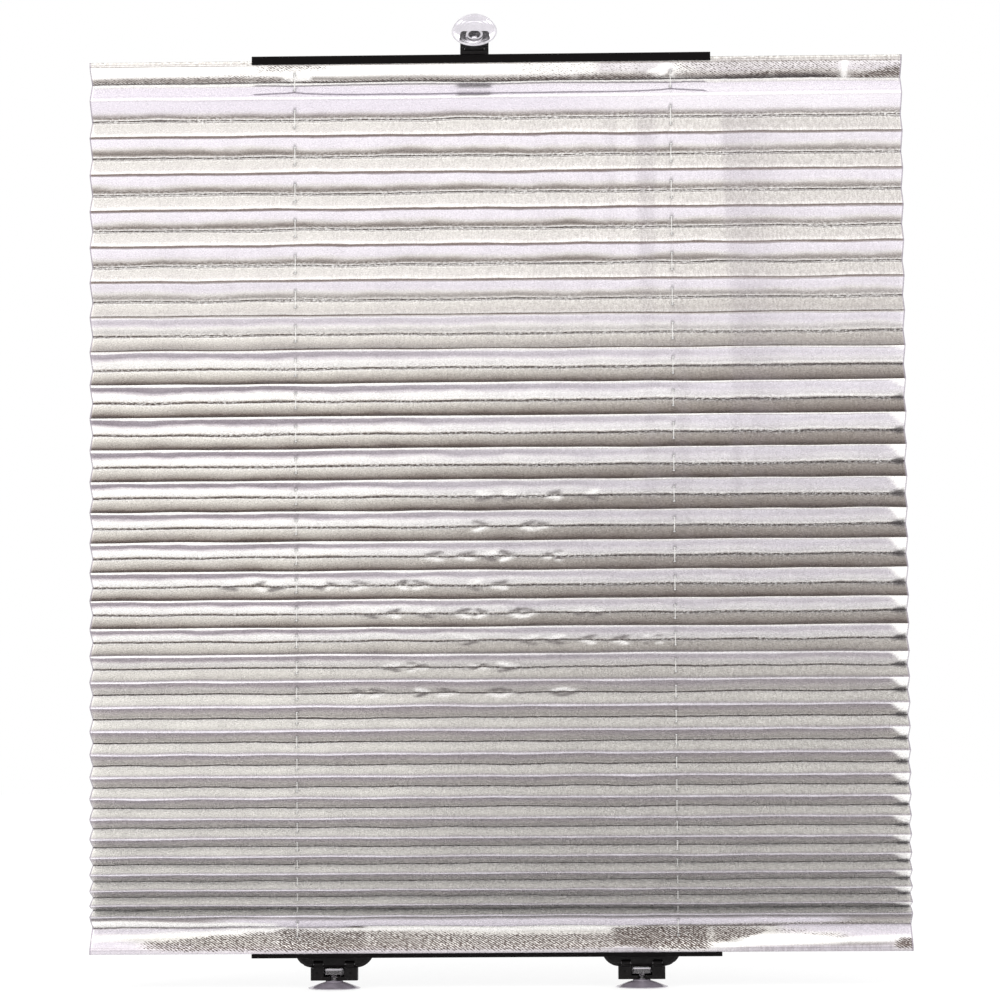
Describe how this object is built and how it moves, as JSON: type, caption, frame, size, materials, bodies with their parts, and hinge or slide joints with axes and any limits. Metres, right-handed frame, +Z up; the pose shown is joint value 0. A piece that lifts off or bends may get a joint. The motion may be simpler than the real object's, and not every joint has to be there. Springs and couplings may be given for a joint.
{
  "type": "windscreen sunshade",
  "caption": "Pull-out pleated silver windscreen sunshade: film between a pull bar and a reel rail, sprung cord reels, hinged suction cup brackets and a cup on a tilting tab.",
  "frame": {"origin": "midway between the two lower suction cups, on the plane of their lips", "axes": "+X to the right seen from the silver side, +Y away from the silver side, +Z up from the reel rail to the pull bar"},
  "size_m": [0.7, 0.0446, 0.8354],
  "materials": {
    "film": "aluminised film on a woven scrim, bright and crinkled",
    "black_plastic": "moulded and extruded, satin",
    "clear_vinyl": "clear soft vinyl, slightly tinted",
    "white_plastic": "natural acetal",
    "cord_line": "thin white braided line",
    "steel": "bright steel"
  },
  "bodies": {
    "reel": {"pleated_film": "film", "reel_rail": "black_plastic", "left_reel_case": "black_plastic", "left_reel_cover": "black_plastic", "left_power_spring": "steel", "left_cord": "cord_line", "left_guide_pin": "steel", "left_hinge_pin": "steel", "left_inner_screw": "steel", "left_outer_screw": "steel", "right_reel_case": "black_plastic", "right_reel_cover": "black_plastic", "right_power_spring": "steel", "right_cord": "cord_line", "right_guide_pin": "steel", "right_hinge_pin": "steel", "right_inner_screw": "steel", "right_outer_screw": "steel"},
    "left_spool": {"left_cord_spool": "white_plastic"},
    "left_drum": {"left_spring_drum": "white_plastic"},
    "left_foot": {"left_bracket": "black_plastic", "left_cup": "clear_vinyl"},
    "right_spool": {"right_cord_spool": "white_plastic"},
    "right_drum": {"right_spring_drum": "white_plastic"},
    "right_foot": {"right_bracket": "black_plastic", "right_cup": "clear_vinyl"},
    "pull_bar": {"pull_bar": "black_plastic", "tab_base": "black_plastic", "tab_pin": "steel", "left_cord_bead": "white_plastic", "left_tab_screw": "steel", "right_cord_bead": "white_plastic", "right_tab_screw": "steel"},
    "upper_tab": {"upper_tab": "black_plastic", "upper_cup": "clear_vinyl"}
  },
  "joints": [
    {"name": "pull_bar_slide", "type": "slide", "parent": "reel", "child": "pull_bar", "axis": [0, 0, 1], "range_m": [-0.73, 0.62], "deforming": ["pleated_film", "left_cord", "right_cord"]},
    {"name": "upper_tab_hinge", "type": "hinge", "parent": "pull_bar", "child": "upper_tab", "pos_m": [-0.00635, -0.0083, 0.8045], "axis": [1, 0, 0], "range_deg": [0, 70]},
    {"name": "left_bracket_hinge", "type": "hinge", "parent": "reel", "child": "left_foot", "pos_m": [-0.131, -0.0002, 0.0202], "axis": [-1, 0, 0], "range_deg": [0, 90]},
    {"name": "left_spool_spin", "type": "hinge", "parent": "reel", "child": "left_spool", "pos_m": [-0.1387, 0, 0.0312], "axis": [0, 1, 0], "range_deg": [-6700, 5700]},
    {"name": "left_drum_spin", "type": "hinge", "parent": "reel", "child": "left_drum", "pos_m": [-0.1137, 0, 0.0312], "axis": [0, 1, 0], "range_deg": [-4700, 5530]},
    {"name": "right_bracket_hinge", "type": "hinge", "parent": "reel", "child": "right_foot", "pos_m": [0.131, -0.0002, 0.0202], "axis": [-1, 0, 0], "range_deg": [0, 90]},
    {"name": "right_spool_spin", "type": "hinge", "parent": "reel", "child": "right_spool", "pos_m": [0.1387, 0, 0.0312], "axis": [0, 1, 0], "range_deg": [-5700, 6700]},
    {"name": "right_drum_spin", "type": "hinge", "parent": "reel", "child": "right_drum", "pos_m": [0.1137, 0, 0.0312], "axis": [0, 1, 0], "range_deg": [-5530, 4700]}
  ],
  "couplings": [
    {"joint": "left_spool_spin", "follows": "pull_bar_slide", "rad_per_m": 160},
    {"joint": "left_drum_spin", "follows": "pull_bar_slide", "rad_per_m": -132},
    {"joint": "right_spool_spin", "follows": "pull_bar_slide", "rad_per_m": -160},
    {"joint": "right_drum_spin", "follows": "pull_bar_slide", "rad_per_m": 132}
  ]
}
